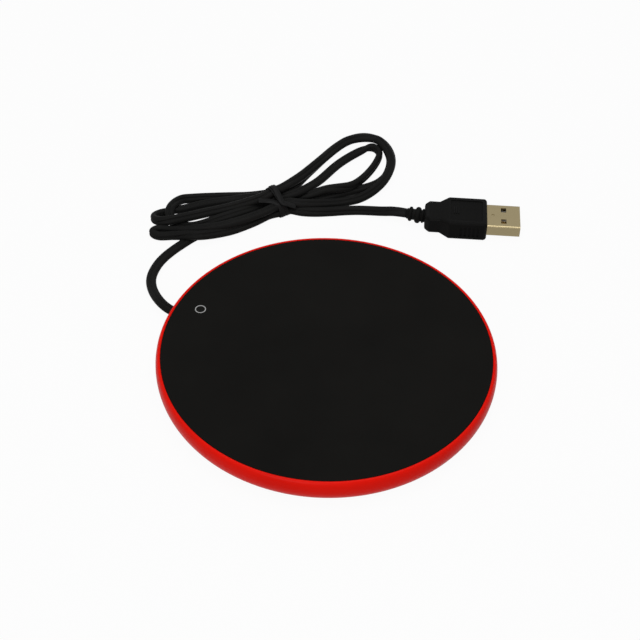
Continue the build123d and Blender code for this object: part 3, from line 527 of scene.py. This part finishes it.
@dataclass
class WoundCord:
    """The whole flat cord: out of the disc, to and fro through the hank, and on to the plug.

    Sizes are in millimetres.

    Args:
        width: across the cord's two cores.
        thickness: the other way.
        groove_depth: of the groove between the cores, on both broad sides.
        groove_spread: from the groove's middle to where it is about a third as deep.
        arc_steps: faces round the outer side of each core.
        flat_steps: faces across each broad side.
        bundle: the hank's waist.
        lead: places from the disc to the hank, starting at the grommet's mouth.
        into_hank: places on the way to the tie.
        out_of_hank: places between the tie and the free end.
        free_lean: how far the cord leans to its right where it comes out of the tie, in degrees from flat.
        plug_lead: places from the hank to the plug's relief.
        plug_leans: the lean at each of those places.
        loops: the hank's loops, in the order in which the cord takes them.
        length: the whole cord's length, all of which shows; not used.
    """

    width: float = 3.5
    thickness: float = 2.4
    groove_depth: float = 0.3
    groove_spread: float = 0.28
    arc_steps: int = 10
    flat_steps: int = 8
    bundle: Bundle = field(default_factory=Bundle)
    lead: tuple[Point, ...] = (
        (-50.438, 21.931, 3.9), (-52.455, 22.808, 3.9), (-55.9, 26.6, 3.3), (-59, 32.5, 2),
        (-60.6, 37.6, 1.4), (-60.9, 41.7, 1.3), (-59.9, 46.2, 1.3), (-58.1, 50.4, 1.3),
        (-55.2, 54.6, 1.3), (-51.4, 58.9, 1.3), (-47.7, 62.7, 1.3),
    )
    into_hank: tuple[Point, ...] = (
        (-43, 66, 1.25), (-37.5, 69.2, 1.25), (-31.3, 73.5, 1.25), (-25, 77.7, 1.3),
    )
    out_of_hank: tuple[Point, ...] = ((-10.2, 77.2, 1.6),)
    free_lean: float = 30.0
    plug_lead: tuple[Point, ...] = (
        (-5.4, 76.9, 1.7), (0, 77.3, 1.75), (5.4, 78.1, 1.75), (10.5, 78.5, 1.75),
        (15.2, 78.2, 1.9), (19.5, 77.3, 2.5), (23.707, 75.992, 3.9), (27.994, 75.002, 3.9),
    )
    plug_leans: tuple[float, ...] = (50, 60, 65, 65, 65, 60, 40, 20)
    loops: tuple[Loop, ...] = (
        Loop("outer_right_low", (
            (-10.5, 81.5, 1.25), (4, 88, 1.25), (17, 93.5, 1.25), (22, 101, 1.25), (23, 110.5, 1.25),
            (19.5, 119, 1.25), (12, 122, 1.25), (3, 116, 1.25), (-6.5, 102, 1.4), (-11, 93.5, 2.4),
            (-14, 87, 3.8),
        ), fold=(4, 7), leans=(0, 0, -30)),
        Loop("upper_left", (
            (-29.5, 85, 1.5), (-42.5, 84, 1.6), (-50.5, 83, 1.7), (-54.3, 81.1, 2.4), (-57.2, 74.5, 3.9),
            (-55.8, 69, 2), (-48.5, 67, 2.1), (-40, 69, 4.1), (-31, 74, 3.9), (-26.5, 77.4, 3),
        ), fold=(4, 6), leans=(-40, 0, 30)),
        Loop("inner_right", (
            (-9.5, 84.5, 2.3), (-1.5, 87, 4.1), (8, 89.4, 3.8), (14.5, 99.5, 2), (18, 107.5, 1.85),
            (18.5, 112, 1.9), (15.8, 114.9, 1.9), (11, 112.5, 1.5), (2.6, 104.2, 1.5), (-3.9, 93, 2.9),
            (-11, 84.5, 4.7),
        ), fold=(2, 7)),
        Loop("middle_left", (
            (-26, 82.5, 3.7), (-35.5, 82.1, 2.2), (-44.5, 80.3, 1.8), (-53, 76.8, 1.8), (-59.6, 74.7, 1.8),
            (-62.7, 71.8, 2.4), (-61.4, 68.5, 3.4), (-56, 67.8, 4.4), (-43.5, 72.3, 4.5), (-34, 75.6, 4.8),
            (-24.5, 79.5, 5.8),
        ), fold=(4, 7), leans=(0, ON_EDGE, 35)),
        Loop("outer_right_high", (
            (-10.5, 93, 5), (-3, 104.5, 3.8), (6.5, 116.5, 3.7), (16, 118, 3.7), (20, 114.5, 3.7),
            (23, 104.5, 3.7), (19.5, 92.5, 3.4), (11, 84.9, 1.7), (0.5, 82, 1.7), (-9.5, 79.5, 3.5),
        ), fold=(3, 6), leans=(30, 0, -25)),
        Loop("lower_left", (
            (-22.5, 74, 4.3), (-30.5, 69.5, 4), (-40, 65.3, 4), (-48, 64.3, 3.9), (-55, 64.4, 2.5),
            (-60.2, 65.8, 1.9), (-62.7, 63.9, 1.9), (-60.2, 62, 1.9), (-55, 61.8, 2.5), (-48.5, 60.8, 3.7),
            (-43.5, 61.2, 3.6), (-34.5, 66, 1.8), (-26, 71.5, 1.7), (-22, 75, 1.6),
        ), fold=(4, 9), leans=(0, ON_EDGE, 30)),
    )
    length: float = 770.0

    def _laid(self) -> list[tuple[Vector, float]]:
        """Lays the cord through the tie and round its loops.

        Returns:
            The cord's points in millimetres, each with its lean in degrees.
        """
        laid = [(Vector(p), 0.0) for p in (*self.lead, *self.into_hank)]
        for number in range(len(self.bundle.slots)):
            enter, leave = self.bundle.ends(number)
            if number:
                laid += self.loops[number - 1].turn(laid[-1][0], enter)
            laid += [(enter, 0.0), (leave, 0.0)]
        laid += [(Vector(p), self.free_lean) for p in self.out_of_hank]
        laid += [(Vector(p), lean) for p, lean in zip(self.plug_lead, self.plug_leans)]
        return laid

    def _section(self) -> list[tuple[float, float]]:
        """The twin cord's closed outline: two round cores side by side, with a groove between them."""
        radius = self.thickness / 2
        core = self.width / 2 - radius
        outline = []
        for side in (1, -1):
            for k in range(self.arc_steps):
                turn = math.pi * (k / self.arc_steps - 0.5)
                outline.append((side * (core + radius * math.cos(turn)), side * radius * math.sin(turn)))
            for k in range(self.flat_steps):
                u = core * (1 - 2 * k / self.flat_steps)
                dip = self.groove_depth * math.exp(-((u / self.groove_spread) ** 2))
                outline.append((side * u, side * (radius - dip)))
        return outline

    def build(self, pieces_on_it: list[bpy.types.Object]) -> bpy.types.Object:
        """Args:
            pieces_on_it: the tie and the relief, which go with the cord; not used.

        Returns:
            The cord.
        """
        laid = self._laid()
        places = np.array([tuple(place) for place, _ in laid])
        leans = np.radians([lean for _, lean in laid])[:, None]
        ahead = np.gradient(places, axis=0)
        up = np.array([0.0, 0.0, 1.0])
        right = np.cross(ahead, up)
        right /= np.linalg.norm(right, axis=1)[:, None]
        ridge = places + np.cos(leans) * up + np.sin(leans) * right
        path = spline_points(places)
        cord = swept_piece("power_cord", path, spline_points(ridge) - path, self._section())
        paint(cord, CORD_JACKET)
        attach(cord, "base")
        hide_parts("cord_lead", "cord_hank", "cord_plug_lead")
        LOG.info("cord of %d points and %d faces", len(laid), len(cord.data.polygons))
        return cord


# ---------------------------------------------------------------- tie and relief


@dataclass(frozen=True)
class Station:
    """A place on the tie's way round the hank.

    Args:
        turns: how far round, from the crossing at the front, down and under.
        along: place along the bundle, in millimetres.
        lift: height above the cords, in millimetres.
    """

    turns: float
    along: float
    lift: float = 0.0


@dataclass
class TwistTie:
    """The coated wire strip wound twice round the hank, with both its ends bent aside.

    Sizes are in millimetres.

    Args:
        bundle: the hank's waist.
        cord_width: across the flat cord.
        cord_thickness: the other way.
        width: the strip's.
        sheet: thickness of its flat edges.
        wire: thickness over the wire in its middle.
        wire_round: places on the coated wire's round, across and out, as shares of half the wire.
        wire_foot: where that round meets the flat edge, in the same shares.
        gap: from the cords to the strip's middle.
        crossing: where its ends cross, across the bundle and up.
        stations: places on its way round, in order.
        left_end: places from the tip of the left end to the crossing.
        right_end: places from the crossing to the tip of the right end.
        end_facing: which way both loose ends' broad side faces.
        corner_steps: points round each pass, for the line round them all.
        step: distance between the sections.
        softening: how often each bend is averaged with its neighbours.
    """

    bundle: Bundle
    cord_width: float
    cord_thickness: float
    width: float = 2.1
    sheet: float = 0.18
    wire: float = 0.38
    wire_round: tuple[tuple[float, float], ...] = ((0.6, 0.9), (1.2, 0.6))
    wire_foot: float = 2.2
    gap: float = 0.21
    crossing: tuple[float, float] = (-3.9, 5.4)
    stations: tuple[Station, ...] = (
        Station(0.0, -2.2, 0.2), Station(0.25, -1.9), Station(0.5, -1.7), Station(0.75, -2.3),
        Station(1.0, -1.1), Station(1.25, 0.5), Station(1.5, -0.2), Station(1.75, -1.5, 0.4),
        Station(2.0, -1.3, 0.7),
    )
    left_end: tuple[Point, ...] = ((-25.5, 76.9, 6.7), (-22.4, 77.7, 6.0), (-20.4, 77.7, 5.8))
    right_end: tuple[Point, ...] = ((-15.2, 76.9, 5.5), (-13.7, 76.9, 4.8), (-12.0, 77.0, 4.1))
    end_facing: Point = (0.0, -0.25, 1.0)
    corner_steps: int = 24
    step: float = 0.4
    softening: int = 5

    def _girth(self) -> np.ndarray:
        """The closed line round the passes, across the bundle and up, from the crossing down and under."""
        radius = self.cord_thickness / 2 + self.gap
        flat = (self.cord_width - self.cord_thickness) / 2
        rim = []
        for across, height in self.bundle.slots:
            for k in range(self.corner_steps):
                turn = 2 * math.pi * (k + 0.5) / self.corner_steps
                shift = math.copysign(flat, math.cos(turn))
                rim.append((across + shift + radius * math.cos(turn), height + radius * math.sin(turn)))
        hull = np.array([rim[i] for i in convex_hull_2d([Vector(place) for place in rim])])
        first = int(np.argmin(np.linalg.norm(hull - np.array(self.crossing), axis=1)))
        hull = np.roll(hull, -first, axis=0)
        x, y = hull[:, 0], hull[:, 1]
        clockwise = np.sum(x * np.roll(y, -1) - np.roll(x, -1) * y) < 0
        if clockwise:
            hull = np.roll(hull[::-1], 1, axis=0)
        return np.vstack([hull, hull[:1]])

    def _wound(self) -> tuple[np.ndarray, np.ndarray]:
        """The strip's middle line on the hank.

        Returns:
            Its points, and at each the direction away from the cords.
        """
        ring = self._girth()
        reach = np.concatenate([[0], np.cumsum(np.linalg.norm(np.diff(ring, axis=0), axis=1))])
        last = self.stations[-1].turns
        turns = np.linspace(0, last, round(last * reach[-1] / self.step))
        places = (turns % 1) * reach[-1]
        across = np.interp(places, reach, ring[:, 0])
        height = np.interp(places, reach, ring[:, 1])
        run = np.stack([np.gradient(across), np.gradient(height)], axis=1)
        run /= np.linalg.norm(run, axis=1)[:, None]
        known = [s.turns for s in self.stations]
        along = np.interp(turns, known, [s.along for s in self.stations])
        lift = np.interp(turns, known, [s.lift for s in self.stations])
        across = across + run[:, 1] * lift
        height = height - run[:, 0] * lift
        spots = [self.bundle.place(*spot) for spot in zip(along, across, height)]
        foot = self.bundle.place(0, 0, 0)
        ways = [self.bundle.place(0, way[1], -way[0]) - foot for way in run]
        return np.array(spots), np.array(ways)

    def _end(self, places: tuple[Point, ...]) -> np.ndarray:
        """One loose end's middle line, evenly spaced along its places."""
        path = np.array(places, dtype=float)
        reach = np.concatenate([[0], np.cumsum(np.linalg.norm(np.diff(path, axis=0), axis=1))])
        even = np.linspace(0, reach[-1], round(reach[-1] / self.step))
        return np.stack([np.interp(even, reach, path[:, axis]) for axis in range(3)], axis=1)

    def _middle(self) -> tuple[np.ndarray, np.ndarray]:
        """The whole strip's middle line.

        Returns:
            Its points from the left end's tip to the right one's, and which way it faces at each.
        """
        wound, ways = self._wound()
        left = self._end((*self.left_end, tuple(wound[0])))[:-1]
        right = self._end((tuple(wound[-1]), *self.right_end))[1:]
        path = np.vstack([left, wound, right])
        facing = np.vstack([[self.end_facing] * len(left), ways, [self.end_facing] * len(right)])
        for _ in range(self.softening):
            path[1:-1] = (path[:-2] + 2 * path[1:-1] + path[2:]) / 4
            facing[1:-1] = (facing[:-2] + 2 * facing[1:-1] + facing[2:]) / 4
        return path, facing

    def _section(self) -> list[tuple[float, float]]:
        """The strip's closed outline, across it and out of it."""
        edge = self.width / 2
        flat = self.sheet / 2
        core = self.wire / 2
        right = [(across * core, out * core) for across, out in self.wire_round]
        right += [(self.wire_foot * core, flat), (edge - flat, flat), (edge, 0.0)]
        left = [(-u, v) for u, v in reversed(right)]
        upper = [*left, (0.0, core), *right]
        return upper + [(u, -v) for u, v in upper[-2:0:-1]]

    def build(self) -> bpy.types.Object:
        """Makes the tie as one closed strip."""
        path, facing = self._middle()
        tie = swept_piece("tie_strip", path, facing, self._section())
        paint(tie, TIE_BLACK)
        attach(tie, "base")
        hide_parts("twist_tie")
        LOG.info("tie strip %.0f mm long", float(np.linalg.norm(np.diff(path, axis=0), axis=1).sum()))
        return tie


@dataclass(frozen=True)
class Rib:
    """One rounded rib of the relief. Sizes in millimetres.

    Args:
        place: of its middle, from the grip's nose.
        width: along the cord.
        diameter: over its crest.
    """

    place: float
    width: float
    diameter: float


@dataclass
class PlugRelief:
    """The tapered, ribbed relief where the cord goes into the plug. Sizes in millimetres.

    Args:
        root: middle of the relief's root, at the grip's nose.
        heading: direction in which it leaves the grip, in degrees.
        length: from the nose to the tip.
        seat: how far its foot goes into the grip.
        root_diameter: its core's at the nose.
        tip_diameter: its core's at the tip.
        ribs: its ribs, in order.
        crest: how far a rib's rounded crest reaches in, as a share of its radius.
        segments: faces round the relief.
        rib_facets: sides of a rib's oval profile.
    """

    root: Point = (34.230, 73.562, 3.9)
    heading: float = 167.0
    length: float = 6.4
    seat: float = 0.4
    root_diameter: float = 4.4
    tip_diameter: float = 3.8
    ribs: tuple[Rib, ...] = (Rib(0.6, 1.0, 5.2), Rib(2.4, 2.0, 5.9), Rib(5.1, 1.4, 5.3))
    crest: float = 0.3
    segments: int = 64
    rib_facets: int = 24

    def _sockets(self) -> dict[str, float | int]:
        """The tree's named sizes, in metres."""
        return {
            "Root Radius": self.root_diameter / 2 * MM,
            "Tip Radius": self.tip_diameter / 2 * MM,
            "Length": (self.length + self.seat) * MM,
            "Seat": -self.seat * MM,
            "Crest": self.crest,
            "Segments": self.segments,
        }

    def _core(self, tree: Tree, given: bpy.types.Node) -> Socket:
        """The tapered core, seated in the grip.

        Args:
            tree: the relief's node tree.
            given: its group input.

        Returns:
            The core's mesh.
        """
        core = tree.nodes.new("GeometryNodeMeshCone")
        tree.links.new(given.outputs["Segments"], core.inputs["Vertices"])
        tree.links.new(given.outputs["Tip Radius"], core.inputs["Radius Top"])
        tree.links.new(given.outputs["Root Radius"], core.inputs["Radius Bottom"])
        tree.links.new(given.outputs["Length"], core.inputs["Depth"])
        foot = tree.nodes.new("ShaderNodeCombineXYZ")
        tree.links.new(given.outputs["Seat"], foot.inputs["Z"])
        seated = tree.nodes.new("GeometryNodeTransform")
        tree.links.new(core.outputs["Mesh"], seated.inputs["Geometry"])
        tree.links.new(foot.outputs["Vector"], seated.inputs["Translation"])
        return seated.outputs["Geometry"]

    def _rib(self, tree: Tree, given: bpy.types.Node) -> Socket:
        """One rib, with a radius and a width of 1: an oval profile carried round a circle.

        Args:
            tree: the relief's node tree.
            given: its group input.

        Returns:
            The rib's mesh.
        """
        inward = tree.nodes.new("ShaderNodeMath")
        inward.operation = "SUBTRACT"
        inward.inputs[0].default_value = 1.0
        tree.links.new(given.outputs["Crest"], inward.inputs[1])
        circle = tree.nodes.new("GeometryNodeCurvePrimitiveCircle")
        tree.links.new(given.outputs["Segments"], circle.inputs["Resolution"])
        tree.links.new(inward.outputs["Value"], circle.inputs["Radius"])
        profile = tree.nodes.new("GeometryNodeCurvePrimitiveCircle")
        profile.inputs["Resolution"].default_value = self.rib_facets
        profile.inputs["Radius"].default_value = 1.0
        oval = tree.nodes.new("ShaderNodeCombineXYZ")
        tree.links.new(given.outputs["Crest"], oval.inputs["X"])
        oval.inputs["Y"].default_value = 1 / 2  # the profile's radius, for a width of 1
        oval.inputs["Z"].default_value = 1.0
        pressed = tree.nodes.new("GeometryNodeTransform")
        tree.links.new(profile.outputs["Curve"], pressed.inputs["Geometry"])
        tree.links.new(oval.outputs["Vector"], pressed.inputs["Scale"])
        ring = tree.nodes.new("GeometryNodeCurveToMesh")
        tree.links.new(circle.outputs["Curve"], ring.inputs["Curve"])
        tree.links.new(pressed.outputs["Geometry"], ring.inputs["Profile Curve"])
        return ring.outputs["Mesh"]

    def _tree(self) -> Tree:
        """The node tree: a tapered core, and a rounded rib at each point that it is given."""
        tree = bpy.data.node_groups.new("relief_with_ribs", "GeometryNodeTree")
        sockets = tree.interface
        sockets.new_socket("Geometry", in_out="INPUT", socket_type="NodeSocketGeometry")
        for name, value in self._sockets().items():
            kind = "NodeSocketInt" if isinstance(value, int) else "NodeSocketFloat"
            sockets.new_socket(name, in_out="INPUT", socket_type=kind)
        sockets.new_socket("Place", in_out="INPUT", socket_type="NodeSocketVector")
        sockets.new_socket("Turn", in_out="INPUT", socket_type="NodeSocketRotation")
        sockets.new_socket("Finish", in_out="INPUT", socket_type="NodeSocketMaterial")
        sockets.new_socket("Geometry", in_out="OUTPUT", socket_type="NodeSocketGeometry")
        given = tree.nodes.new("NodeGroupInput")

        size = tree.nodes.new("GeometryNodeInputNamedAttribute")
        size.data_type = "FLOAT_VECTOR"
        size.inputs["Name"].default_value = "rib_size"
        ribs = tree.nodes.new("GeometryNodeInstanceOnPoints")
        tree.links.new(given.outputs["Geometry"], ribs.inputs["Points"])
        tree.links.new(self._rib(tree, given), ribs.inputs["Instance"])
        tree.links.new(size.outputs["Attribute"], ribs.inputs["Scale"])

        joined = tree.nodes.new("GeometryNodeJoinGeometry")
        tree.links.new(self._core(tree, given), joined.inputs["Geometry"])
        tree.links.new(ribs.outputs["Instances"], joined.inputs["Geometry"])
        turned = tree.nodes.new("GeometryNodeTransform")
        tree.links.new(joined.outputs["Geometry"], turned.inputs["Geometry"])
        tree.links.new(given.outputs["Place"], turned.inputs["Translation"])
        tree.links.new(given.outputs["Turn"], turned.inputs["Rotation"])
        real = tree.nodes.new("GeometryNodeRealizeInstances")
        tree.links.new(turned.outputs["Geometry"], real.inputs["Geometry"])
        smooth = tree.nodes.new("GeometryNodeSetShadeSmooth")
        tree.links.new(real.outputs["Geometry"], smooth.inputs["Geometry"])
        dressed = tree.nodes.new("GeometryNodeSetMaterial")
        tree.links.new(smooth.outputs["Geometry"], dressed.inputs["Geometry"])
        tree.links.new(given.outputs["Finish"], dressed.inputs["Material"])
        result = tree.nodes.new("NodeGroupOutput")
        tree.links.new(dressed.outputs["Geometry"], result.inputs["Geometry"])
        return tree

    def build(self) -> bpy.types.Object:
        """Makes the relief from its tree, as one plain mesh."""
        seeds = bpy.data.meshes.new("rib_places")
        seeds.from_pydata([(0, 0, rib.place * MM) for rib in self.ribs], [], [])
        sizes = seeds.attributes.new("rib_size", "FLOAT_VECTOR", "POINT")
        for spot, rib in zip(sizes.data, self.ribs):
            radius = rib.diameter / 2 * MM
            spot.vector = (radius, radius, rib.width * MM)
        source = bpy.data.objects.new("rib_places", seeds)
        bpy.context.scene.collection.objects.link(source)
        modifier = source.modifiers.new("ribs", "NODES")
        modifier.node_group = self._tree()
        values: dict[str, object] = dict(self._sockets())
        values["Place"] = tuple(c * MM for c in self.root)
        values["Turn"] = Euler((0, math.pi / 2, math.radians(self.heading)))
        values["Finish"] = PLUG_BLACK.build()
        for item in modifier.node_group.interface.items_tree:
            if item.in_out == "INPUT" and item.name in values:
                modifier[item.identifier] = values[item.name]
        graph = bpy.context.evaluated_depsgraph_get()
        mesh = bpy.data.meshes.new_from_object(source.evaluated_get(graph), depsgraph=graph)
        bpy.data.objects.remove(source)
        relief = bpy.data.objects.new("cord_relief", mesh)
        bpy.context.scene.collection.objects.link(relief)
        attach(relief, "base")
        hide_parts("plug_relief")
        LOG.info("relief with %d ribs, %d faces", len(self.ribs), len(mesh.polygons))
        return relief


# ---------------------------------------------------------------- studio

WHITE = (1.0, 1.0, 1.0)


@dataclass(frozen=True)
class Lamp:
    """One soft square lamp. Lengths in metres.

    Args:
        name: the lamp's name.
        place: where it hangs.
        aim: the point that it faces.
        size: its side.
        watts: its power.
    """

    name: str
    place: Point
    aim: Point
    size: float
    watts: float

    def build(self) -> None:
        """Hangs the lamp."""
        data = bpy.data.lights.new(self.name, "AREA")
        data.size = self.size
        data.energy = self.watts
        lamp = bpy.data.objects.new(self.name, data)
        lamp.location = self.place
        way = Vector(self.aim) - Vector(self.place)
        lamp.rotation_euler = way.to_track_quat("-Z", "Y").to_euler()
        bpy.context.scene.collection.objects.link(lamp)


@dataclass
class Studio:
    """Floor, lights and camera. Lengths in metres, angles in degrees.

    Args:
        camera_place: where the camera stands.
        camera_drop: how far it looks down from level.
        camera_roll: its turn about its own axis.
        focal_pixels: its focal length in pixels.
        frame_pixels: the picture's side.
        sensor: the sensor's width in millimetres.
        nearest: closest distance that the camera sees.
        floor_size: the floor's side.
        floor_color: its colour under the lamps.
        floor_roughness: its roughness.
        floor_glow: how much of its look is plain white, for the rays that look at it.
        surround_color: the light that the surround gives.
        lamps: the lamps.
    """

    camera_place: Point = (-0.0024, -0.33276, 0.35835)
    camera_drop: float = 45.146
    camera_roll: float = 1.284
    focal_pixels: float = 1500.0
    frame_pixels: float = 640.0
    sensor: float = 36.0
    nearest: float = 0.01
    floor_size: float = 6.0
    floor_color: Color = (0.5, 0.5, 0.5)
    floor_roughness: float = 0.9
    floor_glow: float = 0.95
    surround_color: Color = (0.42, 0.42, 0.43)
    lamps: tuple[Lamp, ...] = (
        Lamp("overhead", place=(0.05, 0.05, 0.9), aim=(0, 0.03, 0), size=0.7, watts=4.8),
        Lamp("front", place=(-0.25, -0.8, 0.45), aim=(0, 0, 0), size=0.5, watts=4.0),
    )

    def camera(self) -> None:
        """Makes the camera from its place, drop and roll."""
        drop = math.radians(self.camera_drop)
        roll = math.radians(self.camera_roll)
        forward = Vector((0, math.cos(drop), -math.sin(drop)))
        right = Vector((1, 0, 0))
        up = right.cross(forward)
        level_right = math.cos(roll) * right + math.sin(roll) * up
        level_up = -math.sin(roll) * right + math.cos(roll) * up
        data = bpy.data.cameras.new("camera")
        data.sensor_width = self.sensor
        data.lens = self.focal_pixels / self.frame_pixels * self.sensor
        data.clip_start = self.nearest
        camera = bpy.data.objects.new("camera", data)
        turn = Matrix((level_right, level_up, -forward)).transposed().to_4x4()
        camera.matrix_world = Matrix.Translation(self.camera_place) @ turn
        bpy.context.scene.collection.objects.link(camera)
        bpy.context.scene.camera = camera

    def _seen_directly(self, tree: Tree, share: float) -> Socket:
        """A factor for camera, glossy and transmission rays.

        Args:
            tree: the node tree of the floor or the world.
            share: the factor's value for those rays.

        Returns:
            The factor socket.
        """
        path = tree.nodes.new("ShaderNodeLightPath")
        total = path.outputs["Is Camera Ray"]
        for name in ("Is Glossy Ray", "Is Transmission Ray"):
            most = tree.nodes.new("ShaderNodeMath")
            most.operation = "MAXIMUM"
            tree.links.new(total, most.inputs[0])
            tree.links.new(path.outputs[name], most.inputs[1])
            total = most.outputs["Value"]
        part = tree.nodes.new("ShaderNodeMath")
        part.operation = "MULTIPLY"
        part.inputs[1].default_value = share
        tree.links.new(total, part.inputs[0])
        return part.outputs["Value"]

    def floor(self) -> None:
        """A plain pale floor that reads as white and keeps a faint shadow."""
        half = self.floor_size / 2
        mesh = bpy.data.meshes.new("floor")
        corners = [(-half, -half, 0), (half, -half, 0), (half, half, 0), (-half, half, 0)]
        mesh.from_pydata(corners, [], [(0, 1, 2, 3)])
        floor = bpy.data.objects.new("floor", mesh)
        bpy.context.scene.collection.objects.link(floor)
        material = bpy.data.materials.new("pale_floor")
        material.use_nodes = True
        tree = material.node_tree
        output = tree.nodes["Material Output"]
        diffuse = tree.nodes["Principled BSDF"]
        diffuse.inputs["Base Color"].default_value = (*self.floor_color, 1.0)
        diffuse.inputs["Roughness"].default_value = self.floor_roughness
        diffuse.inputs["Specular IOR Level"].default_value = 0.0
        glow = tree.nodes.new("ShaderNodeEmission")
        glow.inputs["Color"].default_value = (*WHITE, 1.0)
        mix = tree.nodes.new("ShaderNodeMixShader")
        tree.links.new(self._seen_directly(tree, self.floor_glow), mix.inputs["Fac"])
        tree.links.new(diffuse.outputs["BSDF"], mix.inputs[1])
        tree.links.new(glow.outputs["Emission"], mix.inputs[2])
        tree.links.new(mix.outputs["Shader"], output.inputs["Surface"])
        mesh.materials.append(material)

    def world(self) -> None:
        """A soft grey surround that reads as white."""
        world = bpy.data.worlds.new("surround")
        bpy.context.scene.world = world
        world.use_nodes = True
        tree = world.node_tree
        background = tree.nodes["Background"]
        color = color_mix(tree, self._seen_directly(tree, 1.0), self.surround_color, WHITE)
        tree.links.new(color, background.inputs["Color"])
        background.inputs["Strength"].default_value = 1.0

    def build(self) -> None:
        """Sets up the floor, the surround, the lamps and the camera."""
        bpy.context.scene.view_settings.view_transform = "Standard"
        self.floor()
        self.world()
        for lamp in self.lamps:
            lamp.build()
        self.camera()
        LOG.info("studio ready")


# ---------------------------------------------------------------- assembly


def dress_nodes(nodes: dict[str, bpy.types.Object]) -> None:
    """Gives every solid that stays its finish.

    Args:
        nodes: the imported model's objects by name.
    """
    for name, finish in NODE_FINISHES.items():
        paint(nodes[name], finish)
    LOG.info("%d solids dressed", len(NODE_FINISHES))


def main() -> None:
    """Builds the scene piece by piece."""
    logging.basicConfig(level=logging.INFO, format="%(name)s: %(message)s")
    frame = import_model()
    Studio().build()
    cord = WoundCord()
    tie = TwistTie(cord.bundle, cord.width, cord.thickness).build()
    relief = PlugRelief().build()
    cord.build([tie, relief])
    dress_nodes(frame["nodes"])


if __name__ == "__main__":
    main()
